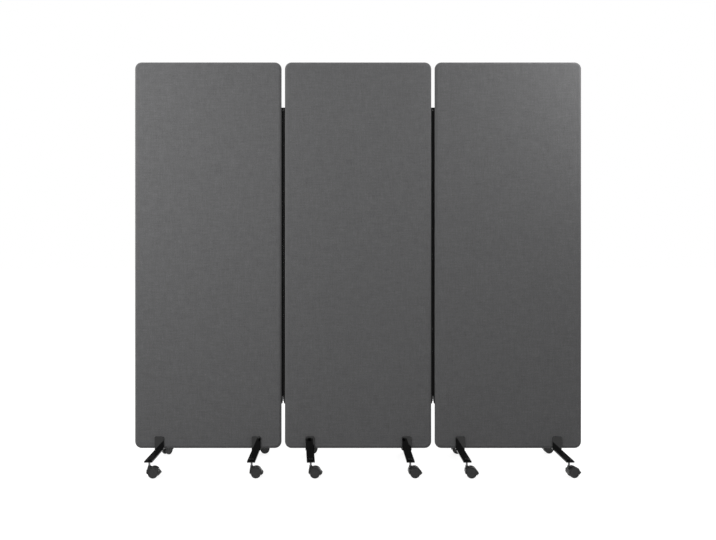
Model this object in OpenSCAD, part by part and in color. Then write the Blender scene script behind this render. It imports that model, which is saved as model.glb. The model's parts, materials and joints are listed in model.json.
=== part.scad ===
// Rolling partition: three fabric panels on swivel casters, joined edge to edge by zips.
// Millimetres. +Z is up, +X runs along the partition and -Y is its front.
// The origin is on the floor, under the centre of the middle panel.

/* [Panels] */
// Width of one panel
panel_w = 610; // [480:1:760]
// Height of one panel, from its bottom edge to its top edge
panel_h = 1607; // [1450:1:1900]
// Gap between two panels, bridged by a zip
panel_gap = 14; // [13:0.5:18]
// Thickness of the fabric cover
fabric_t = 1.3; // [0.8:0.1:2]
// Clearance between the fabric and what it covers
fabric_clear = 0.2; // [0.1:0.05:0.4]

/* [Frame] */
// Outer diameter of the frame tube
tube_d = 25; // [22:0.5:30]
// Wall of the frame tube
tube_wall = 1.5; // [1:0.1:2.5]
// Inner radius of the bend at each corner of the frame
bend_inner_r = 1.5; // [1:0.5:12]
// Outer diameter of the cross rail at mid height
rail_d = 20; // [14:0.5:21]
// Clearance round each acoustic board
board_clear = 0.3; // [0.2:0.05:0.6]
// Corner radius of the acoustic boards
board_corner_r = 14; // [13:0.5:30]

/* [Feet] */
// Length of a foot, front to back
foot_l = 384; // [320:1:460]
// Width of the foot bar
foot_w = 32; // [28:1:44]
// Radius of the foot bar's corners
foot_corner_r = 2; // [1:0.5:8]
// Thickness of the foot bar
foot_t = 5; // [3:0.5:6]
// Distance from a panel's side edge to the centre of its foot
foot_inset = 104; // [70:1:180]
// Width of the two tabs that hold the panel
tab_w = 37; // [26:1:50]
// Height of the tabs above the panel's bottom edge
tab_h = 52; // [30:1:80]
// Thickness of the tabs
tab_t = 3; // [2:0.5:5]
// Radius of the tabs' top corners
tab_corner_r = 5; // [1:0.5:10]
// Clearance between the bar and the panel
seat_clear = 0.2; // [0.1:0.05:0.4]
// Diameter of the screws that hold a foot to its panel
screw_d = 6; // [5:0.5:8]
// Distance between the two screws of a foot
screw_pitch = 18; // [15:0.5:22]
// Height of the screw heads
screw_head_h = 3.2; // [2:0.1:5]

/* [Casters] */
// Diameter of the wheels
wheel_d = 40; // [38:1:50]
// Width of one wheel
wheel_w = 9.8; // [8:0.2:14]
// Gap between the two wheels of a caster
wheel_gap = 10.4; // [9.8:0.2:14]
// Diameter of the axle
axle_d = 4.9; // [4:0.1:6]
// Distance that the axle trails behind the stem
trail = 17.5; // [15:0.5:20]
// Clearance between the wheels and the hood
hood_clear = 1.2; // [0.8:0.1:2]
// Thickness of the hood
hood_t = 2.6; // [1.6:0.1:4]
// Rise of the hood's neck above the top of the hood
neck_rise = 3.7; // [1:0.1:5]
// Diameter of the caster stem
stem_d = 8; // [7:0.5:9]
// Diameter of the stem's spigot, on which the hood turns
spigot_d = 6; // [5:0.5:6]
// Length of bare stem between the hood and the foot bar
stem_show = 16.5; // [10:0.5:30]
// Distance from the end of a foot to the caster stem
stem_inset = 20; // [14:0.5:40]
// Width across the flats of the stem's nut
nut_af = 13; // [12:0.5:16]
// Height of the cap nut on the stem
nut_h = 6; // [4:0.5:9]
// Radial clearance of the spigot and the axle in their bores
run_clear = 0.06; // [0.02:0.01:0.1]
// Width of the brake pedal
pedal_w = 24; // [18:0.5:28]

/* [Zips] */
// Length of a zip
zip_len = 1234; // [1000:1:1300]
// Height of a zip's lower end above the panel's bottom edge
zip_rise = 185; // [120:1:200]
// Thickness of the zip tape
tape_t = 0.8; // [0.5:0.1:1]
// Width of the two rows of teeth together
chain_w = 7.2; // [6:0.2:8]
// Thickness of the teeth
chain_t = 2.4; // [2:0.1:2.8]
// Gap between the two rows of teeth, in which the slider's post runs
chain_gap = 1.6; // [1.2:0.1:2]
// Length of the free tape ends below the slider
tail_len = 17; // [8:0.5:24]
// Length of the slider
slider_l = 16; // [12:0.5:22]
// Width of the slider
slider_w = 10.4; // [9:0.1:10.6]
// Thickness of the slider's two plates
slider_plate_t = 1.4; // [1:0.1:1.6]
// Length of the pull tab
pull_l = 17; // [14:0.5:30]
// Width of the pull tab
pull_w = 7; // [6:0.5:8]
// Height of the retainer box at the zip's upper end
box_h = 10; // [6:0.5:14]

/* [Hidden] */
$fn = 48;
SIDES = ["left", "middle", "right"];
FEET = [1:6];
ZIPS = ["left", "right"];

eps = 0.01;
bore_clear = 0.3;      // free play of a screw or stem in the hole it passes through

// Turn of each foot about the vertical at rest, in degrees; foot 3 stands askew
FOOT_TURN = [0, 0, 3.5, 0, 0, 0];
// Turn of each caster at rest, in degrees from trailing along +X, feet 1 to 6
FRONT_TURN = [-4, 3, -3, 5, -2, 12];
REAR_TURN = [-115, 2, -4, 3, -12, 6];

// Play that lets a foot stand askew: its tabs clear the panel and its holes clear the screws
askew = sin(max(FOOT_TURN));
tab_clear = tab_w / 2 * askew + 0.2;
slot_clear = screw_pitch / 2 * askew + 0.25;

// Caster, measured from the floor and from the stem's axis
axle_z = wheel_d / 2;
hood_in_r = wheel_d / 2 + hood_clear;
hood_out_r = hood_in_r + hood_t;
neck_top = axle_z + hood_out_r + neck_rise;
neck_r = spigot_d / 2 + 2.6;             // neck above the wheels
boss_r = wheel_gap / 2 - 0.5;            // boss between the wheels
boss_bottom = axle_z + 5;
hood_w = wheel_gap + 2 * wheel_w - 1;    // the wheels stand 0.5 proud of the hood on each side
web_w = 4;                               // centre plate of the hood
hub_r = 6;
hood_rear = 40;                          // angle above level at which the hood ends
rear_hood_end = 20;                      // the same for a rear caster, which has no pedal
hood_front = 188;
pedal_low = -20;                         // the pedal's arc, in degrees above level
pedal_high = 36;
pedal_inner_r = wheel_d / 2 + 0.8;
pedal_lip = 4.5;                         // reach of the pedal's tread beyond the hood
pedal_edge_t = 3;                        // thickness of the tread at its outer edge

// Heights of the foot and the panel
bar_z = neck_top + stem_show;
panel_z = bar_z + foot_t + seat_clear;
stem_y = foot_l / 2 - stem_inset;
shoulder_h = 3;                          // round shoulder of the stem, under the bar
shoulder_r = stem_d / 2 + 2;
nut_cap = 1.5;                           // closed top of the nut

// Panel section
skin = fabric_t + fabric_clear;
panel_t = tube_d + 2 * skin;
bend_r = bend_inner_r + tube_d / 2;
cover_r = bend_r + tube_d / 2 + skin;
loop_w = panel_w - 2 * skin - tube_d;
loop_low = skin + tube_d / 2;
loop_high = panel_h - skin - tube_d / 2;
rail_z = (loop_low + loop_high) / 2;
pitch = panel_w + panel_gap;
screw_boss_r = screw_d / 2 + 2;

// Zip, measured from the panel's bottom edge and from the middle of the gap
half_gap = panel_gap / 2;
seam_gap = 0.3;                          // free play where the tape bends at the middle panel's edge
fold_gap = 0.95;                         // free play at a side panel's edge, taken up by the fold
fold_recess = 0.5;                       // depth at which the sewn tape ends there
tape_sunk = fabric_t - 0.1;              // depth of the tape in the cover's side seam
slider_z = zip_rise + tail_len;
chain_z = slider_z + 1;
chain_top = zip_rise + zip_len - box_h;
box_w = 2 * half_gap - 3.2;
box_t = 4.4;
box_gap = 0.1;                           // play between the rows of teeth and the box
plate_y = chain_t / 2 + 0.3;             // inner face of the slider's plates
bridge_r = 1.8;                          // round bridge that carries the pull
pin_d = 1.6;
bridge_y = plate_y + slider_plate_t + bridge_r;
pull_z = slider_z + slider_l - 3.6;
pull_t = 1.2;

function panel_x(i) = (i - 1) * pitch;
function foot_x(k) = panel_x(floor((k - 1) / 2)) + (k % 2 == 1 ? -1 : 1) * (panel_w / 2 - foot_inset);

// ---------- shapes used more than once ----------

// A rectangle centred on X, standing on y = 0, with rounded corners
module rounded_rect(w, h, r, bottom = true) {
    for (x = [-1, 1]) {
        translate([x * (w / 2 - r), h - r]) circle(r);
        if (bottom) translate([x * (w / 2 - r), r]) circle(r);
    }
    translate([-w / 2, bottom ? r : 0]) square([w, h - (bottom ? 2 : 1) * r]);
    translate([-w / 2 + r, 0]) square([w - 2 * r, h]);
}

// Extrudes a drawing of the XZ plane along Y, centred on y = 0
module across(t) {
    translate([0, t / 2, 0]) rotate([90, 0, 0]) linear_extrude(t) children();
}

// A cylinder along Y, centred on y = 0
module rod_y(r, l) {
    rotate([90, 0, 0]) cylinder(r = r, h = l, center = true);
}

// The wedge of the XZ plane between two angles above level, seen from the front
module wedge(from, to, r) {
    steps = ceil((to - from) / 30);
    polygon(concat([[0, 0]],
        [for (i = [0:steps]) let (a = from + (to - from) * i / steps) 1.2 * r * [cos(a), sin(a)]]));
}

// A part of a ring in the XZ plane
module ring_part(r1, r2, from, to) {
    intersection() {
        difference() {
            circle(r2);
            circle(r1);
        }
        wedge(from, to, r2);
    }
}

// A rod of diameter d along the frame's centre line
module tube_loop(d) {
    straight = loop_w - 2 * bend_r;
    for (x = [-1, 1]) translate([x * loop_w / 2, 0, loop_low + bend_r])
        cylinder(d = d, h = loop_high - loop_low - 2 * bend_r);
    for (z = [loop_low, loop_high]) translate([-straight / 2, 0, z])
        rotate([0, 90, 0]) cylinder(d = d, h = straight);
    for (k = [0:3]) {
        x = (k == 0 || k == 3) ? 1 : -1;
        z = k < 2 ? loop_high - bend_r : loop_low + bend_r;
        translate([x * straight / 2, 0, z]) rotate([90, 0, 0]) rotate([0, 0, 90 * k])
            rotate_extrude(angle = 90) translate([bend_r, 0]) circle(d = d);
    }
}

// Half of the panel's section, round at its far end
module round_ended(l, t) {
    translate([0, -t / 2]) square([l - t / 2, t]);
    translate([l - t / 2, 0]) difference() {
        circle(d = t);
        translate([-t, -t]) square([t, 2 * t]);
    }
}

// The panel's outside shape, drawn in by an inset all round
module panel_body(inset) {
    w = panel_w - 2 * inset;
    h = panel_h - 2 * inset;
    t = panel_t - 2 * inset;
    r = cover_r - inset;
    translate([0, 0, inset + r]) linear_extrude(h - 2 * r) for (m = [0, 1])
        mirror([m, 0]) round_ended(w / 2, t);
    for (m = [0, 1]) translate([0, 0, inset + h / 2]) mirror([0, 0, m]) {
        translate([-w / 2 + r, 0, h / 2 - r]) rotate([90, 0, 90])
            linear_extrude(w - 2 * r) rotate(90) round_ended(r, t);
        for (n = [0, 1]) mirror([n, 0, 0]) translate([w / 2 - r, 0, h / 2 - r])
            rotate([90, 0, 0]) rotate_extrude(angle = 90) round_ended(r, t);
    }
}

// Places children at the two screws of each of a panel's feet
module at_foot_screws() {
    for (x = [-1, 1], s = [-1, 1])
        translate([x * (panel_w / 2 - foot_inset) + s * screw_pitch / 2, 0, 0]) children();
}

module at_foot(k) {
    translate([foot_x(k), 0, 0]) rotate([0, 0, FOOT_TURN[k - 1]]) children();
}

// Places children at the four caster stems of panel i
module at_stems(i) {
    for (k = [2 * i + 1, 2 * i + 2], y = [-1, 1]) at_foot(k) translate([0, y * stem_y, 0]) children();
}

module at_panel(i) {
    translate([panel_x(i), 0, 0]) children();
}

// The side edges of panel i that carry a zip: -1 for its left edge, 1 for its right edge
function zip_edges(i) = i == 0 ? [1] : i == 1 ? [-1, 1] : [-1];

// ---------- panels ----------

// Welded tube frame with a cross rail and threaded bosses in its bottom rail
module frame() {
    color("dimgray") translate([0, 0, panel_z]) difference() {
        union() {
            difference() {
                union() {
                    tube_loop(tube_d);
                    translate([0, 0, rail_z]) rotate([0, 90, 0])
                        cylinder(d = rail_d, h = loop_w, center = true);
                }
                tube_loop(tube_d - 2 * tube_wall);
                translate([0, 0, rail_z]) rotate([0, 90, 0])
                    cylinder(d = rail_d - 2 * tube_wall, h = loop_w, center = true);
            }
            at_foot_screws() translate([0, 0, skin + tube_wall / 2])
                cylinder(r = screw_boss_r, h = tube_d / 2);
        }
        at_foot_screws() cylinder(d = screw_d + 2 * run_clear, h = tube_d);
    }
}

// Two acoustic boards, above and below the cross rail
module acoustic_boards() {
    w = loop_w - tube_d - 2 * board_clear;
    low = [loop_low + tube_d / 2 + board_clear, rail_z + rail_d / 2 + board_clear];
    high = [rail_z - rail_d / 2 - board_clear, loop_high - tube_d / 2 - board_clear];
    color("gray") for (i = [0, 1]) translate([0, 0, panel_z + low[i]])
        across(tube_d - fabric_clear) rounded_rect(w, high[i] - low[i], board_corner_r);
}

// Fabric cover, stretched over the frame and the boards, open at its seam where a zip is sewn in
module fabric_cover(i) {
    color([0.42, 0.42, 0.43]) translate([0, 0, panel_z]) difference() {
        panel_body(0);
        panel_body(fabric_t);
        at_foot_screws() translate([0, 0, -eps]) cylinder(d = screw_d + 2 * bore_clear, h = tube_d / 2);
        for (e = zip_edges(i))
            translate([e * panel_w / 2, 0, zip_rise + zip_len / 2])
                cube([2 * skin, tape_t + 2 * fabric_clear, zip_len + 2 * fabric_clear], center = true);
    }
}

// ---------- feet ----------

// Flat bar across the panel, with a tab up the panel's front and one up its back
module foot() {
    hole_r = stem_d / 2 + bore_clear;
    color([0.05, 0.05, 0.05]) difference() {
        union() {
            translate([0, -foot_l / 2, bar_z]) linear_extrude(foot_t)
                rounded_rect(foot_w, foot_l, foot_corner_r);
            for (m = [0, 1]) mirror([0, m, 0])
                translate([0, panel_t / 2 + tab_clear + tab_t / 2, bar_z]) across(tab_t)
                    rounded_rect(tab_w, panel_z - bar_z + tab_h, tab_corner_r, bottom = false);
        }
        for (y = [-1, 1]) translate([0, y * stem_y, bar_z - eps]) cylinder(r = hole_r, h = foot_t + 2 * eps);
        for (s = [-1, 1]) translate([s * screw_pitch / 2, 0, bar_z - eps])
            cylinder(d = screw_d + 2 * slot_clear, h = foot_t + 2 * eps);
    }
}

// Screws up through the bars into the frame, and the cap nuts on the caster stems
module foot_fasteners(i) {
    color([0.08, 0.08, 0.08]) {
        at_panel(i) at_foot_screws() translate([0, 0, bar_z - screw_head_h]) {
            cylinder(r = screw_d / 2 + 2.2, h = screw_head_h);
            cylinder(d = screw_d, h = screw_head_h + foot_t + seat_clear + skin + tube_d / 2);
        }
        at_stems(i) translate([0, 0, bar_z + foot_t]) difference() {
            cylinder(d = nut_af / cos(30), h = nut_h, $fn = 6);
            translate([0, 0, -eps]) cylinder(r = stem_d / 2 + run_clear, h = nut_h - nut_cap);
        }
    }
}

// Caster stems: a threaded rod with a shoulder under the bar and a spigot in the hood
module caster_stems(i) {
    color("silver") at_stems(i) {
        translate([0, 0, boss_bottom + 1]) cylinder(d = spigot_d, h = neck_top - boss_bottom);
        translate([0, 0, neck_top + bore_clear])
            cylinder(d = stem_d, h = bar_z + foot_t + nut_h - nut_cap - 0.5 - neck_top - bore_clear);
        translate([0, 0, bar_z - shoulder_h]) cylinder(r = shoulder_r, h = shoulder_h);
    }
}

// ---------- casters ----------

// Hood: a shell over both wheels, a neck on the stem and a plate down to the axle.
// The stem is at x = 0 and the axle trails along +X.
module hood(braked) {
    color([0.12, 0.12, 0.12]) difference() {
        union() {
            translate([trail, 0, axle_z]) {
                across(hood_w)
                    ring_part(hood_in_r, hood_out_r, braked ? hood_rear : rear_hood_end, hood_front);
                across(web_w) ring_part(hub_r - 1, hood_in_r + 1, hood_rear, hood_front - 10);
                rod_y(hub_r, braked ? web_w : 2 * boss_r);
            }
            // sloping front, filled in to the shell
            across(hood_w) difference() {
                polygon([
                    [-neck_r - 1.2, axle_z + 0.62 * hood_out_r],
                    [trail - hood_out_r - 1.6, axle_z + 3],
                    [trail - hood_out_r + 0.4, axle_z - 1.5],
                    [trail - hood_in_r, axle_z],
                    [neck_r, axle_z + 0.72 * hood_in_r],
                    [neck_r, axle_z + 0.82 * hood_out_r]
                ]);
                translate([trail, axle_z]) circle(hood_in_r);
            }
            translate([0, 0, boss_bottom]) cylinder(r = boss_r, h = neck_top - boss_bottom);
            translate([0, 0, axle_z + 0.8 * hood_in_r])
                cylinder(r = neck_r, h = neck_top - axle_z - 0.8 * hood_in_r);
            // rib that carries the neck down to the sloping front and back to the shell
            across(2 * neck_r) polygon([
                [0.9 - neck_r, neck_top - 2.5],
                [-neck_r - 1.2, axle_z + 0.62 * hood_out_r],
                [neck_r, axle_z + 0.72 * hood_in_r],
                [trail - 4, axle_z + hood_out_r - 1],
                [neck_r, neck_top - 2.5]
            ]);
        }
        translate([0, 0, boss_bottom - eps])
            cylinder(r = spigot_d / 2 + run_clear, h = neck_top - boss_bottom + 2 * eps);
        translate([trail, 0, axle_z]) {
            rod_y(axle_d / 2 + run_clear, hood_w);
            for (s = [-1, 1]) translate([0, s * (boss_r + wheel_w / 2 + 0.25), 0])
                rod_y(hood_in_r, wheel_w + 0.5);
        }
    }
}

// Two wheels and the axle that they are pressed on. The hubs are closed outside.
module wheels() {
    inner = wheel_gap / 2;
    rim = 2.2;
    color([0.1, 0.1, 0.1]) translate([trail, 0, axle_z]) {
        for (m = [0, 1]) mirror([0, m, 0]) translate([0, inner, 0]) rotate([-90, 0, 0]) difference() {
            union() {
                rotate_extrude() translate([wheel_d / 2 - 2 * rim, 0]) {
                    translate([0, rim]) square([2 * rim, wheel_w - 2 * rim]);
                    square([rim, wheel_w]);
                    for (y = [rim, wheel_w - rim]) translate([rim, y]) circle(rim);
                }
                translate([0, 0, wheel_w - 5]) cylinder(r = wheel_d / 2 - rim, h = 3.6);
                cylinder(r = axle_d / 2 + 3, h = wheel_w - 0.6);
            }
            translate([0, 0, -eps]) cylinder(d = axle_d + 0.04, h = wheel_w - 2);
        }
        rod_y(axle_d / 2, 2 * (inner + wheel_w - 2.3));
    }
}

// Brake pedal: a fork on the axle that carries a curved plate behind the wheels, with a tread on it
module brake_pedal() {
    cheek_w = boss_r - web_w / 2 - 0.3;
    root_r = hood_out_r - 1;
    tip = hood_out_r + pedal_lip;
    color([0.14, 0.14, 0.14]) translate([trail, 0, axle_z]) difference() {
        union() {
            across(pedal_w) {
                ring_part(pedal_inner_r, hood_out_r, pedal_low, pedal_high);
                difference() {
                    polygon([
                        root_r * [cos(pedal_high - 4), sin(pedal_high - 4)],
                        [tip, pedal_edge_t / 2],
                        [tip, -pedal_edge_t / 2],
                        root_r * [cos(pedal_low + 4), sin(pedal_low + 4)]
                    ]);
                    circle(pedal_inner_r + 1);
                }
            }
            for (s = [-1, 1]) translate([0, s * (web_w / 2 + 0.3 + cheek_w / 2), 0]) {
                rod_y(hub_r, cheek_w);
                across(cheek_w) ring_part(hub_r - 1, pedal_inner_r + 1, pedal_low + 2, pedal_high - 2);
            }
        }
        rod_y(axle_d / 2 + run_clear, pedal_w);
    }
}

module at_caster(k, y, turn) {
    at_foot(k) translate([0, y, 0]) rotate([0, 0, turn - FOOT_TURN[k - 1]]) children();
}

// ---------- zips ----------

// Zip tape sewn into a panel's side seam, with its free end below the slider
module zip_tape(i) {
    recess = i == 1 ? seam_gap / 2 : fold_recess;
    for (e = zip_edges(i)) color([0.04, 0.04, 0.04])
        translate([e * panel_w / 2, 0, panel_z]) mirror([e < 0 ? 1 : 0, 0, 0]) {
            translate([-tape_sunk, -tape_t / 2, zip_rise])
                cube([tape_sunk - recess, tape_t, zip_len]);
            across(tape_t) polygon([
                [-tape_sunk, zip_rise],
                [half_gap / 2, zip_rise],
                [half_gap - chain_gap, slider_z - 0.5],
                [-tape_sunk, slider_z - 0.5]
            ]);
        }
}

// Joined rows of teeth with the tape beside them, and the retainer box at the upper end.
// The middle panel is on the +X side of zip 0 and on the -X side of zip 1.
module zip_chain(i) {
    rows_h = chain_top - box_gap - chain_z;
    color([0.04, 0.04, 0.04]) translate([0, 0, panel_z]) {
        for (m = [0, 1]) mirror([m, 0, 0]) {
            tape_end = half_gap - (m == i ? seam_gap : fold_gap);
            translate([chain_gap / 2, -chain_t / 2, chain_z])
                cube([(chain_w - chain_gap) / 2, chain_t, rows_h]);
            translate([chain_w / 2 - eps, -tape_t / 2, chain_z])
                cube([tape_end - chain_w / 2 + eps, tape_t, rows_h]);
            translate([0, -tape_t / 2, chain_top]) cube([tape_end, tape_t, box_h]);
        }
        translate([-box_w / 2, -box_t / 2, chain_top]) cube([box_w, box_t, box_h]);
    }
}

// Slider: two plates over the teeth, joined by a post between the rows, and a bridge for the pull
module zip_slider() {
    lip_y = tape_t / 2 + 0.4;
    color([0.3, 0.3, 0.31]) translate([0, 0, panel_z]) {
        difference() {
            union() {
                for (m = [0, 1]) mirror([0, m, 0])
                    translate([0, plate_y + slider_plate_t / 2, slider_z]) across(slider_plate_t)
                        rounded_rect(slider_w, slider_l, 2);
                for (x = [-1, 1], y = [-1, 1])
                    translate([x * (slider_w / 2 - 0.45), y * (lip_y + plate_y + 0.2) / 2,
                               slider_z + slider_l / 2])
                        cube([0.9, plate_y + 0.2 - lip_y, slider_l - 4], center = true);
                translate([0, 0, slider_z + 2]) cube([chain_gap - 0.6, 2 * plate_y + 1, 4], center = true);
                translate([0, -bridge_y, pull_z]) rotate([0, 90, 0])
                    cylinder(r = bridge_r, h = 2.4, center = true);
                translate([-1.2, -bridge_y, pull_z - bridge_r])
                    cube([2.4, bridge_r + slider_plate_t / 2, 2 * bridge_r]);
            }
            translate([0, -bridge_y, pull_z]) rotate([0, 90, 0])
                cylinder(d = pin_d + 2 * run_clear, h = 3, center = true);
        }
    }
}

// Pull tab with two ears and a pin through the slider's bridge
module zip_pull() {
    ear_w = (pull_w - 3) / 2;
    color([0.55, 0.55, 0.56]) translate([0, -bridge_y, panel_z + pull_z]) {
        rotate([0, 90, 0]) cylinder(d = pin_d, h = pull_w - 1, center = true);
        for (x = [-1, 1]) translate([x * (pull_w - ear_w) / 2, 0, 0]) {
            rotate([0, 90, 0]) cylinder(r = 1.3, h = ear_w, center = true);
            translate([-ear_w / 2, -pull_t / 2, -4]) cube([ear_w, pull_t, 4]);
        }
        translate([0, 0, -pull_l]) across(pull_t) rounded_rect(pull_w, pull_l - 3, 2);
    }
}

for (i = [0:2]) {
    at_panel(i) {
        frame();
        acoustic_boards();
        fabric_cover(i);
        zip_tape(i);
    }
    foot_fasteners(i);
    caster_stems(i);
}
for (k = FEET) {
    at_foot(k) foot();
    at_caster(k, -stem_y, FRONT_TURN[k - 1]) {
        hood(true);
        wheels();
        brake_pedal();
    }
    at_caster(k, stem_y, REAR_TURN[k - 1]) {
        hood(false);
        wheels();
    }
}
for (i = [0, 1]) translate([(i == 0 ? -1 : 1) * pitch / 2, 0, 0]) {
    zip_chain(i);
    zip_slider();
    zip_pull();
}
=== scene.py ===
"""Rolling partition: three fabric panels on casters, zipped edge to edge. Metres, in the CAD's frame."""
import json
import math

import bmesh
import bpy
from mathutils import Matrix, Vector, noise

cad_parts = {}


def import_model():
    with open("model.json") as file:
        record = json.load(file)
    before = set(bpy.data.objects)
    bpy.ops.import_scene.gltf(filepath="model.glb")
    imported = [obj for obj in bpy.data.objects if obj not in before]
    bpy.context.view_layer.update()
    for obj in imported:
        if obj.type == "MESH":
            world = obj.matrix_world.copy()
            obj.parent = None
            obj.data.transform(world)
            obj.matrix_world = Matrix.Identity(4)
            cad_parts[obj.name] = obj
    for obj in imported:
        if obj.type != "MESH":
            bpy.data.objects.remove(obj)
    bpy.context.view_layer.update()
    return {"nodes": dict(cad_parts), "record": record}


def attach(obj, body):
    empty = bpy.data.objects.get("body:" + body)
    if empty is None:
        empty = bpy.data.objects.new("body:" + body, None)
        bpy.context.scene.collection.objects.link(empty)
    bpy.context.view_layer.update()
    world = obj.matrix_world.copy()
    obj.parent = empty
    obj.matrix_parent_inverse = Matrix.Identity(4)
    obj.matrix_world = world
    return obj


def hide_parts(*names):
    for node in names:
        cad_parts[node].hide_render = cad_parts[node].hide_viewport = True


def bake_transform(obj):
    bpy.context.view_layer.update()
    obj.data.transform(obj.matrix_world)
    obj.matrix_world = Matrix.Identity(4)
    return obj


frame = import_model()
MM = 0.001

# ---------- sizes, as in the part's source ----------
PANEL_W, PANEL_H, PANEL_T, COVER_R, PANEL_Z = 0.610, 1.607, 0.028, 0.028, 0.0692
PITCH, HALF_GAP = 0.624, 0.007
SIDES = ["left", "middle", "right"]
PANEL_X = {s: (i - 1) * PITCH for i, s in enumerate(SIDES)}
ZIP_X = {"left": -PITCH / 2, "right": PITCH / 2}
ZIP_LOW = PANEL_Z + 0.185
SLIDER_Z = ZIP_LOW + 0.017
CHAIN_Z = SLIDER_Z + 0.001
CHAIN_TOP = PANEL_Z + 1.409
ZIP_TOP = CHAIN_TOP + 0.010
PULL_Y, PULL_Z = -0.0047, SLIDER_Z + 0.0124
AXLE_Z, TRAIL, STEM_Y, FOOT_INSET = 0.020, 0.0175, 0.172, 0.104
FRONT_TURN = [-4, 3, -3, 5, -2, 12]  # degrees, of the front casters
FOOT_TURN = [0, 0, 3.5, 0, 0, 0]  # degrees, of the feet
FOOT_X = [(k // 2 - 1) * PITCH + (1 if k % 2 else -1) * (PANEL_W / 2 - FOOT_INSET) for k in range(6)]


# ---------- materials ----------
LOW, HIGH = 0.3, 0.7  # between which most of a noise's values lie
STITCH_OFF, STITCH_HALF = 0.0026, 0.00045  # the rows of stitches, from the seam
STITCH_PITCH, STITCH_LEVEL = 0.0042, -0.35  # a stitch shows where the sine is above this level
WEAVE = 0.0022  # pitch of the panels' cloth
THREAD = 0.00125  # pitch of the thread on a stem
TAPE_RIB, TAPE_ROW = 0.0011, 0.0009  # pitches of the tape's weave
BAR_SHADED_SHINE, TAB_SHINE = 0.12, 0.42  # painted shade: the same gloss paint reflects less on the bars than on the upright tabs, to darken the bars' tops


class Paint:
    """A material with a Principled shader, and short calls for the nodes that feed it."""

    def __init__(self, name, rough, metal=0.0, **sockets):
        self.material = bpy.data.materials.new(name)
        self.material.use_nodes = True
        self.tree = self.material.node_tree
        self.shader = self.tree.nodes["Principled BSDF"]
        self.shader.inputs["Metallic"].default_value = metal
        self.shader.inputs["Roughness"].default_value = rough
        for key, value in sockets.items():
            self.shader.inputs[key.replace("_", " ")].default_value = value
        self.place = self.add("ShaderNodeTexCoord").outputs["Object"]
        split = self.add("ShaderNodeSeparateXYZ", self.place)
        self.x, self.y, self.z = split.outputs

    def add(self, kind, *values, **settings):
        made = self.tree.nodes.new(kind)
        for key, value in settings.items():
            setattr(made, key, value)
        for i, value in enumerate(values):
            if isinstance(value, bpy.types.NodeSocket):
                self.tree.links.new(value, made.inputs[i])
            elif value is not None:
                made.inputs[i].default_value = value
        return made

    def math(self, how, a, b=0.0):
        return self.add("ShaderNodeMath", a, b, operation=how).outputs[0]

    def noise(self, scale, detail=2.0, stretch=(1, 1, 1), rough=0.5):
        """A noise of so many features a metre, times the stretch along each axis."""
        moved = self.add("ShaderNodeVectorMath", self.place, stretch, operation="MULTIPLY").outputs[0]
        made = self.add("ShaderNodeTexNoise")
        self.tree.links.new(moved, made.inputs["Vector"])
        made.inputs["Scale"].default_value = scale
        made.inputs["Detail"].default_value = detail
        made.inputs["Roughness"].default_value = rough
        return made.outputs["Fac"]

    def ramp(self, value, *stops):
        """value through a colour ramp; each stop is (place, grey or colour)."""
        made = self.add("ShaderNodeValToRGB", value)
        points = made.color_ramp.elements
        while len(points) < len(stops):
            points.new(0.5)
        for point, (at, colour) in zip(points, stops):
            point.position = at
            point.color = (colour,) * 3 + (1,) if isinstance(colour, (int, float)) else (*colour, 1)
        return made.outputs["Color"]

    def mix(self, share, a, b, how="MIX"):
        """Two colours blended by a share."""
        made = self.add("ShaderNodeMix", data_type="RGBA", blend_type=how)
        for i, value in ((0, share), (6, a), (7, b)):
            if isinstance(value, bpy.types.NodeSocket):
                self.tree.links.new(value, made.inputs[i])
            else:
                made.inputs[i].default_value = value if i == 0 else (*value, 1)
        return made.outputs[2]

    def wave(self, along, pitch):
        """A sine along a coordinate, from -1 to 1."""
        return self.math("SINE", self.math("MULTIPLY", along, 2 * math.pi / pitch))

    def feed(self, name, socket):
        self.tree.links.new(socket, self.shader.inputs[name])

    def colour(self, socket):
        self.feed("Base Color", socket)

    def rough(self, value, low, high):
        """Roughness from low to high with a noise."""
        made = self.add("ShaderNodeMapRange", value, LOW, HIGH, low, high)
        self.feed("Roughness", made.outputs[0])

    def bump(self, height, distance, strength=1.0):
        made = self.add("ShaderNodeBump")
        made.inputs["Strength"].default_value = strength
        made.inputs["Distance"].default_value = distance
        self.tree.links.new(height, made.inputs["Height"])
        self.feed("Normal", made.outputs[0])


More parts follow.
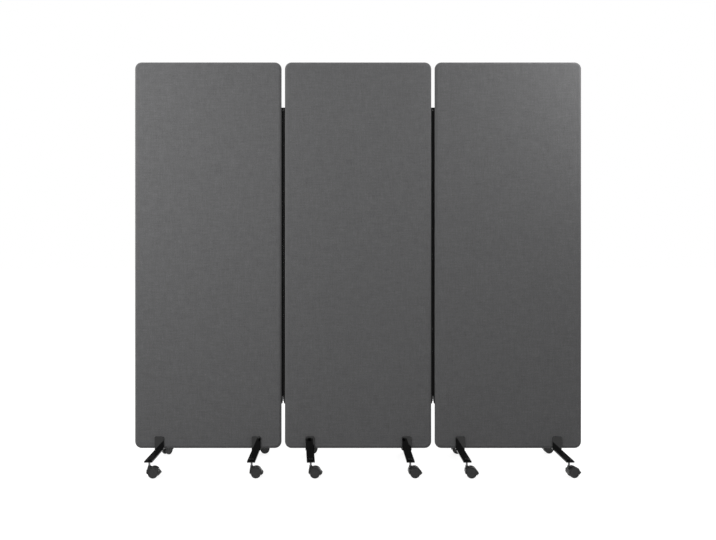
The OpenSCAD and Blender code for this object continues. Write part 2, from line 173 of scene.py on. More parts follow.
def panel_fabric():
    """Grey melange cloth with a plain weave, and two rows of stitches along the seam round the edge."""
    p = Paint("panel_fabric", 0.92, Sheen_Weight=0.1, Sheen_Roughness=0.45)
    fibres = p.noise(1100, 3, (0.45, 1, 1), 0.65)
    yarn = p.noise(420, 2, (1, 1, 0.35))
    cloud = p.noise(42, 3)
    dark, middle, light = (0.072, 0.072, 0.074), (0.116, 0.116, 0.118), (0.176, 0.176, 0.179)
    tone = p.ramp(fibres, (0.28, dark), (0.5, middle), (0.72, light))
    threads = p.ramp(yarn, (LOW, (0.090, 0.090, 0.092)), (HIGH, (0.147, 0.147, 0.150)))
    tone = p.mix(0.4, tone, threads)
    tone = p.mix(1.0, tone, p.ramp(cloud, (LOW, 0.955), (HIGH, 1.045)), "MULTIPLY")
    for stretch in ((0.07, 1, 1), (1, 1, 0.07)):  # heathered threads, along the weft and the warp
        streak = p.ramp(p.noise(300, 2, stretch), (LOW, 0.93), (HIGH, 1.07))
        tone = p.mix(1.0, tone, streak, "MULTIPLY")
    off_seam = p.math("ABSOLUTE", p.math("SUBTRACT", p.math("ABSOLUTE", p.y), STITCH_OFF))
    near = p.math("LESS_THAN", off_seam, STITCH_HALF)
    beat = p.math("GREATER_THAN", p.wave(p.math("ADD", p.x, p.z), STITCH_PITCH), STITCH_LEVEL)
    stitch = p.math("MULTIPLY", near, beat)
    p.colour(p.mix(stitch, tone, (0.05, 0.05, 0.052)))
    weave = p.math("MULTIPLY", p.wave(p.math("ADD", p.x, p.y), WEAVE), p.wave(p.z, WEAVE))
    height = p.math("ADD", p.math("MULTIPLY", weave, 0.28), p.math("MULTIPLY", fibres, 1.1))
    height = p.math("ADD", height, p.math("MULTIPLY", stitch, 0.9))
    p.bump(height, 0.00022, 0.7)
    return p.material


def felt_board():
    """Grey felt of the acoustic boards."""
    p = Paint("felt_board", 0.95)
    fibres = p.noise(700, 4, (1, 3, 1), 0.7)
    p.colour(p.ramp(fibres, (LOW, 0.19), (HIGH, 0.31)))
    p.bump(fibres, 0.0003)
    return p.material


def painted_steel():
    """Grey powder paint on the frames, with its fine orange peel."""
    p = Paint("painted_steel", 0.45)
    peel = p.noise(420, 2)
    p.colour(p.ramp(p.noise(30, 3), (LOW, 0.088), (HIGH, 0.112)))
    p.rough(peel, 0.38, 0.52)
    p.bump(peel, 0.00005)
    return p.material


def gloss_black():
    """Gloss black paint on the feet, a little worn and dusty."""
    p = Paint("gloss_black", 0.06)
    # painted shade: below the panel's lower edge, on the bars, the paint's reflection is turned down; the
    # tabs above keep the full reflection
    tab = p.math("GREATER_THAN", p.z, PANEL_Z)
    shine = p.math("MULTIPLY", tab, TAB_SHINE - BAR_SHADED_SHINE)
    p.feed("Specular IOR Level", p.math("ADD", shine, BAR_SHADED_SHINE))
    peel = p.noise(320, 2)
    dust = p.noise(60, 4, rough=0.7)
    clean, worn, dusty = (0.0012, 0.0012, 0.0013), (0.002, 0.002, 0.0021), (0.005, 0.005, 0.005)
    p.colour(p.ramp(dust, (0.35, clean), (0.62, worn), (0.8, dusty)))
    p.rough(p.noise(22, 4), 0.04, 0.08)
    p.bump(peel, 0.000012, 0.6)
    return p.material


def black_fastener():
    """Blackened steel of the cap nuts and screws."""
    p = Paint("black_fastener", 0.4, Specular_IOR_Level=0.2)
    p.colour(p.ramp(p.noise(500, 3), (LOW, 0.0025), (HIGH, 0.006)))
    p.rough(p.noise(160, 2), 0.3, 0.48)
    p.bump(p.noise(900, 2), 0.00003)
    return p.material


def stem_steel():
    """Turned steel, with a thread at the stem's upper end."""
    p = Paint("stem_steel", 0.3, 1.0)
    turned = p.noise(90, 3, (1, 1, 40))
    p.colour(p.ramp(turned, (LOW, (0.105, 0.105, 0.109)), (HIGH, (0.17, 0.17, 0.175))))
    p.rough(turned, 0.26, 0.42)
    threaded = p.math("GREATER_THAN", p.z, PANEL_Z - 0.002)
    threads = p.math("MULTIPLY", p.wave(p.z, THREAD), threaded)
    p.bump(p.math("ADD", p.math("MULTIPLY", threads, 3.0), turned), 0.00012)
    return p.material


def moulded(name, dark, light, low, high, grain=1300, shine=0.35):
    """Moulded black plastic with a fine spark grain, and a little dust in patches."""
    p = Paint(name, (low + high) / 2, Specular_IOR_Level=shine)
    dust = p.noise(70, 4, rough=0.65)
    p.colour(p.ramp(dust, (LOW, dark), (0.62, light), (0.85, 1.5 * light)))
    p.rough(p.noise(110, 3), low, high)
    p.bump(p.noise(grain, 2), 0.00005, 0.8)
    return p.material


def zip_tape():
    """Black woven tape."""
    p = Paint("zip_tape", 0.9, Specular_IOR_Level=0.12)
    rib = p.wave(p.z, TAPE_RIB)
    row = p.wave(p.math("ADD", p.x, p.math("MULTIPLY", p.z, 0.5)), TAPE_ROW)
    weave = p.math("MULTIPLY", rib, row)
    fibres = p.ramp(p.noise(1500, 3), (LOW, 0.003), (HIGH, 0.008))
    p.colour(p.mix(1.0, fibres, p.ramp(weave, (0.0, 0.85), (1.0, 1.1)), "MULTIPLY"))
    p.bump(weave, 0.00015)
    return p.material


def dark_metal(name, dark, light, low, high):
    """Cast metal with a dark plating, for the zips' sliders and pulls."""
    p = Paint(name, (low + high) / 2, 1.0)
    p.colour(p.ramp(p.noise(260, 3), (LOW, dark), (HIGH, light)))
    p.rough(p.noise(700, 2), low, high)
    p.bump(p.noise(1500, 2), 0.00003)
    return p.material


FABRIC, BOARD, STEEL, GLOSS = panel_fabric(), felt_board(), painted_steel(), gloss_black()
FASTENER, STEM, TAPE = black_fastener(), stem_steel(), zip_tape()
HOOD = moulded("hood_plastic", 0.017, 0.028, 0.3, 0.42)
WHEEL = moulded("wheel_nylon", 0.014, 0.026, 0.34, 0.5, 900)
PEDAL = moulded("pedal_plastic", 0.020, 0.032, 0.32, 0.45)
TEETH = moulded("zip_teeth", 0.003, 0.007, 0.45, 0.6, 2500, 0.15)
SLIDER = dark_metal("slider_metal", 0.035, 0.06, 0.3, 0.42)
PULL = dark_metal("pull_metal", 0.06, 0.10, 0.28, 0.4)

SLOTS = {
    "panel_fabric": FABRIC, "acoustic_board": BOARD, "frame_steel": STEEL, "foot_black": GLOSS,
    "black_fastener": FASTENER, "stem_steel": STEM, "hood_plastic": HOOD, "wheel_nylon": WHEEL,
    "pedal_plastic": PEDAL, "zip_tape": TAPE, "zip_teeth": TEETH, "slider_metal": SLIDER,
    "pull_metal": PULL,
}
# widths of the small rounded edges of the hard pieces
EDGES = {
    "foot_black": 0.0005, "hood_plastic": 0.0006, "pedal_plastic": 0.0006, "wheel_nylon": 0.0003,
    "black_fastener": 0.0004, "stem_steel": 0.0003,
}
FLAT_ANGLE, SHARP_ANGLE = math.radians(0.8), math.radians(32)  # joined below the one, rounded above the other


def round_edges(node, width):
    """Joins the flat faces of a solid and rounds its sharp edges, by modifiers alone."""
    flat = node.modifiers.new("flat", "DECIMATE")
    flat.decimate_type, flat.angle_limit = "DISSOLVE", FLAT_ANGLE
    edge = node.modifiers.new("edge", "BEVEL")
    edge.width, edge.segments = width, 2
    edge.limit_method, edge.angle_limit = "ANGLE", SHARP_ANGLE
    edge.harden_normals = True


for part in frame["record"]["subparts"]:
    node = frame["nodes"][part["node"]]
    for held in node.material_slots:
        held.material = SLOTS[part["material_slot"]]
    if part["material_slot"] in EDGES:
        round_edges(node, EDGES[part["material_slot"]])


# ---------- making pieces ----------
def piece(name, mesh, material, body):
    """A piece of the visual model, which rides on a body unless a blend is to place it."""
    made = bpy.data.objects.new(name, mesh)
    bpy.context.scene.collection.objects.link(made)
    mesh.materials.clear()
    mesh.materials.append(material)
    mesh.shade_smooth()
    if body:
        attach(made, body)
    return made


def finished(name, bm):
    """The mesh of a bmesh, with its normals outward."""
    bmesh.ops.recalc_face_normals(bm, faces=bm.faces)
    mesh = bpy.data.meshes.new(name)
    bm.to_mesh(mesh)
    bm.free()
    return mesh


def mesh_from(name, verts, faces):
    """A mesh from its corners and faces."""
    bm = bmesh.new()
    made = [bm.verts.new(v) for v in verts]
    for face in faces:
        bm.faces.new([made[i] for i in face])
    return finished(name, bm)


def joined(name, meshes):
    """Several meshes as one."""
    bm = bmesh.new()
    for mesh in meshes:
        bm.from_mesh(mesh)
    return finished(name, bm)


def bands(n, rows, base=0):
    """The faces between closed rows of n points each; the first point has the number base."""
    faces = []
    for low in range(base, base + (rows - 1) * n, n):
        faces += [(low + i, low + (i + 1) % n, low + n + (i + 1) % n, low + n + i) for i in range(n)]
    return faces


def skin(n, rows, base=0):
    """The faces of a closed solid over rows of points, as bands, with both ends shut."""
    last = base + (rows - 1) * n
    low_end, high_end = tuple(base + i for i in reversed(range(n))), tuple(last + i for i in range(n))
    return bands(n, rows, base) + [low_end, high_end]


def strip(profile, low, high, step):
    """A mesh whose section in the XY plane is profile, closed, drawn up from low to high."""
    count = round((high - low) / step)
    verts = []
    for k in range(count + 1):
        z = low + (high - low) * k / count
        verts += [(x, y, z) for x, y in profile]
    return mesh_from("strip", verts, skin(len(profile), count + 1))


def plate(name, outlines, thickness, round_edge, place):
    """A plate in the XZ plane with rounded edges. The first outline is its outside, the rest are holes."""
    curve = bpy.data.curves.new(name, "CURVE")
    curve.dimensions, curve.fill_mode = "2D", "BOTH"
    curve.extrude, curve.bevel_depth, curve.bevel_resolution = thickness / 2 - round_edge, round_edge, 2
    curve.offset = -round_edge
    for outline in outlines:
        line = curve.splines.new("POLY")
        line.points.add(len(outline) - 1)
        for point, (x, z) in zip(line.points, outline):
            point.co = (x, z, 0, 1)
        line.use_cyclic_u = True
    holder = bpy.data.objects.new(name, curve)
    bpy.context.scene.collection.objects.link(holder)
    bpy.context.view_layer.update()
    mesh = bpy.data.meshes.new_from_object(holder.evaluated_get(bpy.context.evaluated_depsgraph_get()))
    bpy.data.objects.remove(holder)
    for v in mesh.vertices:
        v.co = Vector((v.co.x, -v.co.z, v.co.y)) + Vector(place)
    return mesh


MOST = 0.45  # of a side, the most that one rounded corner may take


def rounded(points, radius, steps=4):
    """A closed outline with its corners rounded."""
    out = []
    for i, here in enumerate(points):
        here = Vector(here)
        back, on = Vector(points[i - 1]) - here, Vector(points[(i + 1) % len(points)]) - here
        r = min(radius, MOST * back.length, MOST * on.length)
        a, b = here + back.normalized() * r, here + on.normalized() * r
        for k in range(steps + 1):
            t = k / steps
            out.append(tuple(a * (1 - t) ** 2 + here * 2 * t * (1 - t) + b * t ** 2))
    return out


def crease(mesh, angle=35):
    """Marks the edges sharper than an angle, so that smooth shading stops there."""
    bm = bmesh.new()
    bm.from_mesh(mesh)
    for e in bm.edges:
        e.smooth = len(e.link_faces) != 2 or e.calc_face_angle(0) < math.radians(angle)
    bm.to_mesh(mesh)
    bm.free()
    return mesh


# ---------- fabric covers ----------
GRID_X, GRID_Z, ARC = 36, 100, 8  # parts of the grid on a panel's face, and of the arc at a corner
CLOTH_T = 0.0009
SLACK, RIPPLE = 0.00022, 0.0001  # heights of the cloth's long and short waves
SLACK_RATE, RIPPLE_RATE = 7, 3.1  # long waves a metre, and short waves in a long one
DIP, DIP_AT, DIP_HALF = 0.00042, 0.0195, 0.0045  # a shallow dip inside the frame's tube, from the edge
PUCKER, PUCKER_REACH = 0.00018, 0.08  # small folds that fan out at the corners
PUCKER_FAN, PUCKER_TURN = 60, 400  # how closely they follow each other, round the panel and outward
# rows round the panel, each a distance in from its outline and one from the middle of its thickness:
# the seam, which turns in by a millimetre, then the round edge, then the first rows on the face
SEAM_ROWS = [(0.0012, 0.00012), (0.0004, 0.00018), (0.00005, 0.0007)]
EDGE_STEPS, EDGE_START = 7, 0.04  # the round edge's rows, and the share of its turn that the seam takes
ON_FACE = 0.98  # share of the half thickness from which a row counts as on the face
FACE_ROWS = (0.0165, 0.0185, 0.0205, 0.0225, 0.025)  # distances in, all on the face


class Cover:
    """Half of a panel's cover, stretched from the seam round the edge and over the face.

    face is -1 for the front half and 1 for the back half."""

    def __init__(self, side, face):
        self.face, self.cx, self.deep = face, PANEL_X[side], PANEL_T / 2
        self.left, self.right = self.cx - PANEL_W / 2 + COVER_R, self.cx + PANEL_W / 2 - COVER_R
        self.low, self.high = PANEL_Z + COVER_R, PANEL_Z + PANEL_H - COVER_R
        self.xs = [self.left + (self.right - self.left) * i / GRID_X for i in range(GRID_X + 1)]
        self.zs = [self.low + (self.high - self.low) * i / GRID_Z for i in range(GRID_Z + 1)]
        # the middles of the four corners' arcs, and the angle at which each arc starts
        self.corners = [(self.right, self.low, -90), (self.right, self.high, 0),
                        (self.left, self.high, 90), (self.left, self.low, 180)]

    def ring(self, inset):
        """The closed line at a distance inside the panel's outline, from its lower right corner round."""
        r, xs, zs = COVER_R - inset, self.xs[1:-1], self.zs[1:-1]
        sides = [
            [(self.right + r, z) for z in zs], [(x, self.high + r) for x in reversed(xs)],
            [(self.left - r, z) for z in reversed(zs)], [(x, self.low - r) for x in xs],
        ]
        out = []
        for (x, z, start), side in zip(self.corners, sides):
            for i in range(ARC + 1):
                a = math.radians(start + 90 * i / ARC)
                out.append((x + r * math.cos(a), z + r * math.sin(a)))
            out += side
        return out

    def lift(self, x, z, inset):
        """How far the cloth stands out from its mean surface."""
        at = Vector((x * SLACK_RATE, z * SLACK_RATE, self.face * 3 + self.cx))
        out = SLACK * noise.noise(at) + RIPPLE * noise.noise(at * RIPPLE_RATE)
        out -= DIP * math.exp(-(((inset - DIP_AT) / DIP_HALF) ** 2))
        near = min(math.hypot(x - a, z - b) for a, b, _ in self.corners)
        if near < PUCKER_REACH:
            a = math.atan2(z - (self.low + self.high) / 2, x - self.cx)
            out += PUCKER * (1 - near / PUCKER_REACH) * math.sin(a * PUCKER_FAN + near * PUCKER_TURN)
        return out

    def edge_verts(self, rows):
        """The corners of the rows round the panel. Only those on the face are lifted."""
        verts = []
        for inset, y in rows:
            for x, z in self.ring(inset):
                out = self.lift(x, z, inset) if y >= ON_FACE * self.deep else 0
                verts.append((x, self.face * (y + out), z))
        return verts

    def face_verts(self):
        """The corners of the grid on the face."""
        verts = []
        for x in self.xs:
            for z in self.zs:
                inset = min(x - self.left, self.right - x, z - self.low, self.high - z) + COVER_R
                verts.append((x, self.face * (self.deep + self.lift(x, z, inset)), z))
        return verts

    def rim(self):
        """The grid's points along its edge, one for each point of a ring."""
        corners = [(GRID_X, 0), (GRID_X, GRID_Z), (0, GRID_Z), (0, 0)]
        sides = [
            [(GRID_X, j) for j in range(1, GRID_Z)], [(i, GRID_Z) for i in range(GRID_X - 1, 0, -1)],
            [(0, j) for j in range(GRID_Z - 1, 0, -1)], [(i, 0) for i in range(1, GRID_X)],
        ]
        out = []
        for corner, side in zip(corners, sides):
            out += [corner] * (ARC + 1) + side
        return out

    def mesh(self, name):
        """The rows round the panel, the grid on its face, and the faces that join the two."""
        rows = list(SEAM_ROWS)
        for k in range(1, EDGE_STEPS + 1):
            a = math.pi / 2 * (EDGE_START + (1 - EDGE_START) * k / EDGE_STEPS)
            rows.append((self.deep * (1 - math.cos(a)), self.deep * math.sin(a)))
        rows += [(inset, self.deep) for inset in FACE_ROWS]
        verts, rim = self.edge_verts(rows), self.rim()
        faces = bands(len(rim), len(rows))
        base, last = len(verts), len(verts) - len(rim)

        def grid(i, j):
            return base + i * (GRID_Z + 1) + j

        for i in range(GRID_X):
            for j in range(GRID_Z):
                faces.append((grid(i, j), grid(i + 1, j), grid(i + 1, j + 1), grid(i, j + 1)))
        for i in range(len(rim)):
            j = (i + 1) % len(rim)
            a, b = grid(*rim[i]), grid(*rim[j])
            faces.append((last + i, last + j, b, a) if a != b else (last + i, last + j, a))
        return mesh_from(name, verts + self.face_verts(), faces)


def cover(side, face):
    """One half of a cover as a piece, with the cloth's thickness inward."""
    mesh = Cover(side, face).mesh(f"{side}_cover")
    name = f"{side}_cover_{'front' if face < 0 else 'back'}"
    made = piece(name, mesh, FABRIC, f"{side}_panel")
    thick = made.modifiers.new("cloth", "SOLIDIFY")
    thick.thickness, thick.offset = CLOTH_T, -1
    outward = sum(p.normal.y * p.area for p in mesh.polygons) * face
    if outward < 0:
        mesh.flip_normals()
    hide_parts(f"{side}_fabric_cover")


for side in SIDES:
    for face in (-1, 1):
        cover(side, face)


# ---------- zips ----------
# the outlines below are in millimetres, from the middle of the gap where a zip runs
TAPE_HALF_T = 0.4
SEAM_DEEP, SIDE_SEAM_DEEP = 8.15, 7.3  # how deep a tape goes; at a fold a side panel's seam comes 0.8 closer
STRIP_STEP = 0.02  # metres, between the rows of a tape
TOOTH_PITCH, FIRST_TOOTH, LAST_TOOTH = 0.003, 0.004, 0.0008  # metres, from the chain's two ends
TAIL_ROWS, TAIL_GAP = 8, 0.00006  # the gap, in metres, keeps a tail's end off the strip above it
TAIL_TOP = 0.0054  # metres from the panel's edge, at the slider
TAIL_CUT, TAIL_CUT_SHARE = 0.0016, 0.12  # the slanted cut of a tail's lower end


def zip_strip(name, sign, panel):
    """The tape from the teeth to the panel's seam, with a bead under the teeth."""
    cx = ZIP_X[name]
    # each stop is a distance from the middle of the gap and half a thickness
    stops = [(0.75, 0.5), (2.0, 1.0), (3.0, 0.95), (3.9, TAPE_HALF_T)]
    deepest = SEAM_DEEP if panel == "middle" else SIDE_SEAM_DEEP
    stops += [(d, TAPE_HALF_T) for d in (4.6, 5.2, 5.7, 6.2, 6.6, 7.0, 7.15, deepest)]
    front = [(cx + sign * d * MM, -t * MM) for d, t in stops]
    back = [(x, -y) for x, y in reversed(front)]
    mesh = crease(strip(front + back, SLIDER_Z, ZIP_TOP, STRIP_STEP))
    tape = piece(f"{name}_zip_tape_{panel}", mesh, TAPE, None)
    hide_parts(f"{panel}_zip_tape", f"{name}_zip_chain")
    if panel == "middle":
        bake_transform(tape)
    else:
        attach(tape, f"{name}_zip")


def zip_teeth(name, sign, panel):
    """A row of teeth, each with a waist and a head that reaches past the middle of the gap."""
    shape = [(3.6, -0.5), (1.3, -0.42), (0.75, -0.74), (-0.55, -0.74), (-0.74, -0.5),
             (-0.74, 0.5), (-0.55, 0.74), (0.75, 0.74), (1.3, 0.42), (3.6, 0.5)]
    layers = [(-1.2, 0.86), (-0.8, 1.0), (0.8, 1.0), (1.2, 0.86)]  # depth, and share of the full outline
    middle = 1.4  # of the outline, towards which it shrinks
    start = CHAIN_Z + FIRST_TOOTH + (0 if sign > 0 else TOOTH_PITCH / 2)
    verts, faces = [], []
    for k in range(int((CHAIN_TOP - LAST_TOOTH - start) / TOOTH_PITCH) + 1):
        faces += skin(len(shape), len(layers), len(verts))
        z = start + k * TOOTH_PITCH
        for y, share in layers:
            for x, h in shape:
                out = (x - middle) * share + middle
                verts.append((ZIP_X[name] + sign * out * MM, y * MM, z + h * share * MM))
    mesh = crease(mesh_from("teeth", verts, faces), 50)
    made = piece(f"{name}_zip_teeth_{panel}", mesh, TEETH, f"{name}_zip")
    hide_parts(f"{name}_zip_chain")


def zip_tail(name, sign, panel):
    """The tape's free end below the slider, which leans away from the middle of the gap."""
    edge, top = ZIP_X[name] + sign * HALF_GAP, SLIDER_Z - TAIL_GAP
    low_inner, half_t = HALF_GAP / 2, TAPE_HALF_T * MM
    verts = []
    for k in range(TAIL_ROWS + 1):
        t = k / TAIL_ROWS
        z = ZIP_LOW + (top - ZIP_LOW) * t
        inner = low_inner + (TAIL_TOP - low_inner) * t ** 0.8
        inner -= TAIL_CUT * max(0, TAIL_CUT_SHARE - t) / TAIL_CUT_SHARE
        bead = half_t + 0.0005 * min(1, max(0, t - 0.5) * 6)
        line = [(inner, bead), (inner - 0.0012, bead), (inner - 0.0019, half_t)]
        line += [(0, half_t), (-0.0012, half_t)]
        verts += [(edge - sign * d, -b, z) for d, b in line]
        verts += [(edge - sign * d, b, z) for d, b in reversed(line)]
    mesh = crease(mesh_from("tail", verts, skin(2 * len(line), TAIL_ROWS + 1)))
    made = piece(f"{name}_zip_tail_{panel}", mesh, TAPE, f"{panel}_panel")
    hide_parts(f"{panel}_zip_tape")


def zip_box(name):
    """The retainer box at the upper end: a rounded case with a grip waist."""
    w, h = 5.4 * MM, 10 * MM
    waist = [(w, 0.3 * h), (0.9 * w, 0.42 * h), (0.9 * w, 0.6 * h), (w, 0.72 * h)]
    line = [(-w, 0), (w, 0), *waist, (w, h), (-w, h), *[(-x, z) for x, z in reversed(waist)]]
    mesh = plate("box", [rounded(line, 0.0012, 3)], 4.4 * MM, 0.0005, (ZIP_X[name], 0, CHAIN_TOP))
    made = piece(f"{name}_zip_box", crease(mesh), TEETH, f"{name}_zip")
    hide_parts(f"{name}_zip_chain")


def swept(path, half_w, half_t, x0):
    """A strap along path, a list of (y, z), with its half width along X and its half thickness."""
    half = [(-1, 0.55), (-0.8, 1), (0.8, 1), (1, 0.55)]
    section = half + [(x, -t) for x, t in reversed(half)]
    verts = []
    for k, (y, z) in enumerate(path):
        a, b = path[max(0, k - 1)], path[min(len(path) - 1, k + 1)]
        along = Vector((b[0] - a[0], b[1] - a[1])).normalized()
        ny, nz = -along.y * half_t, along.x * half_t
        verts += [(x0 + dx * half_w, y + s * ny, z + s * nz) for dx, s in section]
    return mesh_from("strap", verts, skin(len(section), len(path)))


def slider_arch(cx):
    """The arch in front of a slider, on which the pull swings."""
    foot, bulge, half_h, steps = -2.9, 3.1, 2.7, 10
    arch = [(-2.6, -2.9)]
    for k in range(steps + 1):
        a = math.pi * k / steps
        arch.append((foot - bulge * math.sin(a) ** 0.8, -half_h * math.cos(a)))
    arch.append((-2.6, 2.9))
    return swept([(y * MM, PULL_Z + z * MM) for y, z in arch], 1.2 * MM, 0.4 * MM, cx)


def zip_slider(name):
    """Slider: two shield plates with side flanges, wide where the rows enter, and an arch for the pull."""
    cx = ZIP_X[name]
    side = [(4.1, 0), (5.2, 1.2), (5.2, 6.5), (4.3, 14.6), (2.6, 16)]
    shield = rounded([(-4.1, 0), *side, *[(-x, z) for x, z in reversed(side[1:])]], 1.6)
    shield = [(x * MM, z * MM) for x, z in shield]
    parts = [plate("plate", [shield], 1.4 * MM, 0.00035, (cx, s * 2.2 * MM, SLIDER_Z)) for s in (-1, 1)]
    flange = [(4.45, 1.6), (5.05, 1.6), (5.05, 6.5), (4.35, 13.5), (3.8, 13.5), (4.4, 6.5)]
    for s in (-1, 1):
        for x in (-1, 1):
            line = [(x * a * MM, b * MM) for a, b in flange][::x]
            parts.append(plate("flange", [line], 1.0 * MM, 0.0001, (cx, s * 1.25 * MM, SLIDER_Z)))
    parts.append(slider_arch(cx))
    mesh = crease(joined("slider", parts), 40)
    made = piece(f"{name}_slider_body", mesh, SLIDER, f"{name}_slider")
    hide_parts(f"{name}_zip_slider")


def zip_pull(name):
    """Pull: a tab with two arms on a pin, and an oblong hole."""
    cx, around = ZIP_X[name], 12
    tab = rounded([(-3.5, 1.2), (-3.5, -12), (-2.6, -17), (2.6, -17), (3.5, -12), (3.5, 1.2),
                   (1.9, 1.2), (1.9, -3.2), (-1.9, -3.2), (-1.9, 1.2)], 1.1)
    hole = rounded([(-1.5, -14.2), (1.5, -14.2), (1.7, -10), (-1.7, -10)], 1.0)
    tab, hole = ([(x * MM, z * MM) for x, z in line] for line in (tab, hole))
    pin = [(-3.2, 0.55), (-2.9, 0.7), (2.9, 0.7), (3.2, 0.55)]  # places along it, and its radius there
    verts = []
    for x, r in pin:
        for i in range(around):
            a = 2 * math.pi * i / around
            y, z = PULL_Y + r * math.cos(a) * MM, PULL_Z + r * math.sin(a) * MM
            verts.append((cx + x * MM, y, z))
    parts = [plate("tab", [tab, hole], 1.2 * MM, 0.0003, (cx, PULL_Y, PULL_Z))]
    parts.append(mesh_from("pin", verts, skin(around, len(pin))))
    mesh = crease(joined("pull", parts), 40)
    made = piece(f"{name}_pull_tab", mesh, PULL, f"{name}_pull")
    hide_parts(f"{name}_zip_pull")


for name in ZIP_X:
    for sign in (-1, 1):
        panel = "middle" if sign * ZIP_X[name] < 0 else name
        zip_strip(name, sign, panel)
        zip_teeth(name, sign, panel)
        zip_tail(name, sign, panel)
    zip_box(name)
    zip_slider(name)
    zip_pull(name)


# ---------- brake pedals' grip ribs ----------
# in millimetres, in the caster's own plane, from its axle
TREAD_EDGE, TREAD_ROOT = Vector((28.3, 1.5)), Vector((19.34, 12.08))  # the ends of the tread's slope
RIBS = (1.8, 3.6, 5.4)  # places of the ribs up the slope
RIB_ENDS = [(-10.5, 0.25), (-10, 0.55), (10, 0.55), (10.5, 0.25)]  # along the axle, and a rib's height there
RIB_FOOT, RIB_TOP, RIB_SUNK = 0.45, 0.28, 0.3  # half widths of a rib, and how far it is sunk in


def grip(k):
    """Three ribs across the slope of the pedal's tread, from its outer edge up."""
    turn, askew = math.radians(FRONT_TURN[k]), math.radians(FOOT_TURN[k])
    stem_x, stem_y = FOOT_X[k] + STEM_Y * math.sin(askew), -STEM_Y * math.cos(askew)
    slope = (TREAD_ROOT - TREAD_EDGE).normalized()
    out = Vector((slope.y, -slope.x))
    verts, faces = [], []
    for reach in RIBS:
        faces += skin(4, len(RIB_ENDS), len(verts))
        for y, h in RIB_ENDS:
            section = [(-RIB_FOOT, -RIB_SUNK), (-RIB_TOP, h), (RIB_TOP, h), (RIB_FOOT, -RIB_SUNK)]
            for along, up in section:
                at = (TREAD_EDGE + slope * (reach + along) + out * up) * MM
                x = TRAIL + at.x
                px = stem_x + x * math.cos(turn) - y * MM * math.sin(turn)
                py = stem_y + x * math.sin(turn) + y * MM * math.cos(turn)
                verts.append((px, py, AXLE_Z + at.y))
    mesh = crease(mesh_from("ribs", verts, faces), 40)
    piece(f"pedal_ribs_{k + 1}", mesh, PEDAL, f"pedal_{k + 1}")


for k in range(len(FOOT_X)):
    grip(k)


# ---------- floor, light and camera ----------
FLOOR_GREY = 0.3  # what the floor gives back of the light that falls on it
FLOOR_GLOW = 0.88  # brings the lit floor up to white in the camera and in reflections
FLOOR_HALF = 30  # metres, to the horizon
FLOOR_DROP = 0.0003  # below the wheels, so that they don't lie in its face
SKY_LOW, SKY_HIGH = 0.42, 1.0  # the sky's grey at the horizon and overhead
SKY_TOP = 0.9  # the height at which it is brightest
SKY_LIGHT = 0.55


def either(nodes, links, *sockets):
    """1 where any of the Light Path sockets is 1."""
    last = sockets[0]
    for socket in sockets[1:]:
        added = nodes.new("ShaderNodeMath")
        added.operation, added.use_clamp = "ADD", True
        links.new(last, added.inputs[0])
        links.new(socket, added.inputs[1])
        last = added.outputs[0]
    return last


def floor():
    """A grey floor that holds the shadows and looks white to the camera."""
    bm = bmesh.new()
    bmesh.ops.create_grid(bm, x_segments=2, y_segments=2, size=FLOOR_HALF)
    mesh = bpy.data.meshes.new("floor")
    bm.to_mesh(mesh)
    bm.free()
    made = bpy.data.objects.new("floor", mesh)
    made.location.z = -FLOOR_DROP
    bpy.context.scene.collection.objects.link(made)
    material = bpy.data.materials.new("floor")
    material.use_nodes = True
    nodes, links = material.node_tree.nodes, material.node_tree.links
    nodes.clear()
    out = nodes.new("ShaderNodeOutputMaterial")
    plain, glow = nodes.new("ShaderNodeBsdfDiffuse"), nodes.new("ShaderNodeEmission")
    plain.inputs["Color"].default_value = (FLOOR_GREY, FLOOR_GREY, FLOOR_GREY, 1)
    path, both = nodes.new("ShaderNodeLightPath"), nodes.new("ShaderNodeAddShader")
    level = nodes.new("ShaderNodeMath")
    level.operation = "MULTIPLY"
    level.inputs[1].default_value = FLOOR_GLOW
    seen = either(nodes, links, path.outputs["Is Camera Ray"], path.outputs["Is Glossy Ray"])
    links.new(seen, level.inputs[0])
    links.new(level.outputs[0], glow.inputs["Strength"])
    links.new(plain.outputs[0], both.inputs[0])
    links.new(glow.outputs[0], both.inputs[1])
    links.new(both.outputs[0], out.inputs["Surface"])
    mesh.materials.append(material)


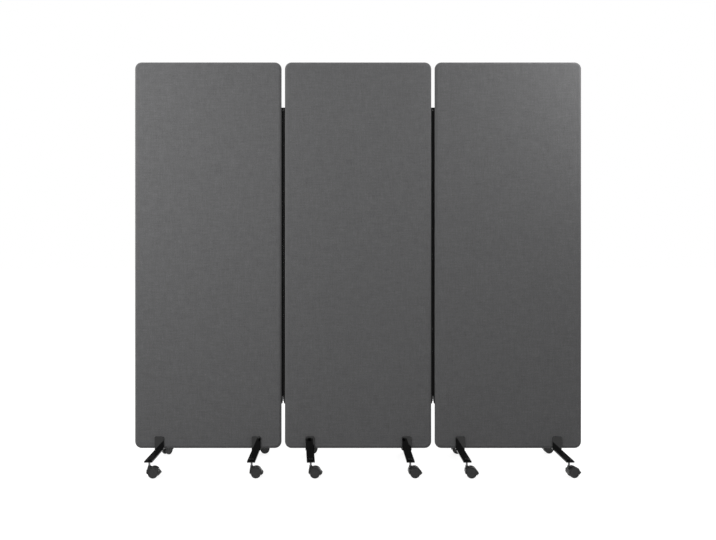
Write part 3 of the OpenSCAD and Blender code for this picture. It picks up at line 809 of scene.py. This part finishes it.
def world():
    """A soft sky for light, and plain white for the camera and for reflections."""
    made = bpy.data.worlds.new("studio")
    bpy.context.scene.world = made
    made.use_nodes = True
    nodes, links = made.node_tree.nodes, made.node_tree.links
    nodes.clear()
    out, mix = nodes.new("ShaderNodeOutputWorld"), nodes.new("ShaderNodeMixShader")
    light, white = nodes.new("ShaderNodeBackground"), nodes.new("ShaderNodeBackground")
    white.inputs["Color"].default_value = (1, 1, 1, 1)
    white.inputs["Strength"].default_value = 1.0
    place, split = nodes.new("ShaderNodeTexCoord"), nodes.new("ShaderNodeSeparateXYZ")
    ramp = nodes.new("ShaderNodeValToRGB")
    links.new(place.outputs["Generated"], split.inputs[0])
    links.new(split.outputs["Z"], ramp.inputs[0])
    ramp.color_ramp.elements[0].color = (SKY_LOW, SKY_LOW, SKY_LOW, 1)
    ramp.color_ramp.elements[1].position = SKY_TOP
    ramp.color_ramp.elements[1].color = (SKY_HIGH, SKY_HIGH, SKY_HIGH, 1)
    links.new(ramp.outputs["Color"], light.inputs["Color"])
    light.inputs["Strength"].default_value = SKY_LIGHT
    path = nodes.new("ShaderNodeLightPath")
    kinds = ("Is Camera Ray", "Is Glossy Ray", "Is Transmission Ray")
    seen = either(nodes, links, *[path.outputs[kind] for kind in kinds])
    links.new(seen, mix.inputs[0])
    links.new(light.outputs[0], mix.inputs[1])
    links.new(white.outputs[0], mix.inputs[2])
    links.new(mix.outputs[0], out.inputs[0])


def lamp(name, at, aim, size, watts):
    """A flat lamp at a place, turned to face aim."""
    light = bpy.data.lights.new(name, "AREA")
    light.shape, light.energy = "RECTANGLE", watts
    light.size, light.size_y = size
    made = bpy.data.objects.new(name, light)
    made.location = at
    made.rotation_euler = (Vector(aim) - Vector(at)).to_track_quat("-Z", "Y").to_euler()
    bpy.context.scene.collection.objects.link(made)


floor()
world()
lamp("left", (-1.8, -1.4, 1.8), (0, 0, 1.0), (1.2, 1.0), 33.3)
lamp("right", (1.5, -0.6, 2.0), (0, 0, 1.3), (0.8, 0.6), 15.1)
lamp("back", (0.6, 2.4, 3.0), (0, 0, 0.8), (2.6, 1.2), 42)

# the camera's place, lens and shift, found from the panels' corners in the photo
EYE = (-0.075, -3.019, 0.897)
LENS, SENSOR = 36.4, 36  # millimetres
PHOTO_W = 716  # pixels, in which the shifts are measured
SHIFT_X, SHIFT_Y = 17.9 / PHOTO_W, -20.6 / PHOTO_W
camera = bpy.data.cameras.new("camera")
camera.lens, camera.sensor_width = LENS, SENSOR
camera.shift_x, camera.shift_y = SHIFT_X, SHIFT_Y
eye = bpy.data.objects.new("camera", camera)
eye.location = EYE
eye.rotation_euler = (math.pi / 2, 0, 0)  # level, looking along +Y
bpy.context.scene.collection.objects.link(eye)
bpy.context.scene.camera = eye
bpy.context.scene.view_settings.view_transform = "Standard"
